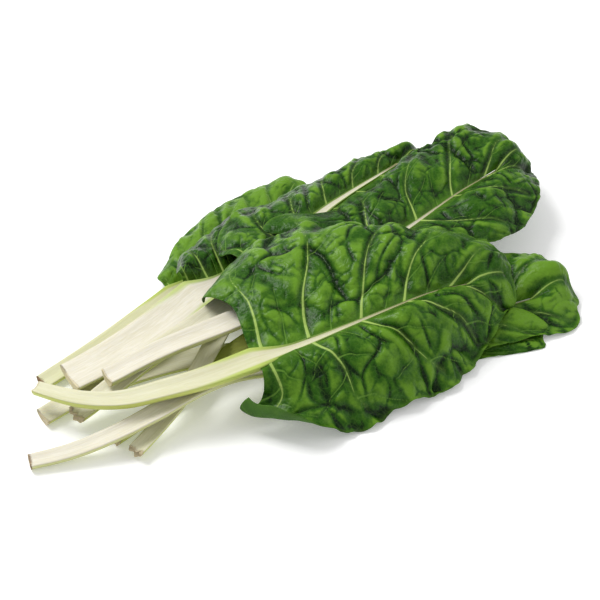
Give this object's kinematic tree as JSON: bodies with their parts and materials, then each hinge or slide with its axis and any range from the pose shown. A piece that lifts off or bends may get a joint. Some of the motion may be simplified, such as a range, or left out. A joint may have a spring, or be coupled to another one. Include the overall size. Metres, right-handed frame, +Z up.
{
  "type": "chard bunch",
  "caption": "Loose bunch of cut chard leaves lying in a pile, with broad white stalks and ribs and dark green crinkled blades.",
  "frame": {"origin": "middle of the bunch's box in plan, on the surface that the bunch lies on", "axes": "+X from the cut stalk ends to the leaf tips, +Z up from the surface"},
  "size_m": [0.6307, 0.3675, 0.0944],
  "materials": {
    "stalk": "satin",
    "blade": "glossy"
  },
  "bodies": {
    "root": {"low_front_stalk": "stalk", "low_front_blade": "blade", "low_back_stalk": "stalk", "low_back_blade": "blade", "far_back_stalk": "stalk", "far_back_blade": "blade", "right_stalk": "stalk", "right_blade": "blade", "under_stalk": "stalk", "under_blade": "blade", "broad_stalk_stalk": "stalk", "broad_stalk_blade": "blade", "rear_middle_stalk": "stalk", "rear_middle_blade": "blade", "upper_right_stalk": "stalk", "upper_right_blade": "blade", "top_stalk": "stalk", "top_blade": "blade"}
  },
  "joints": []
}
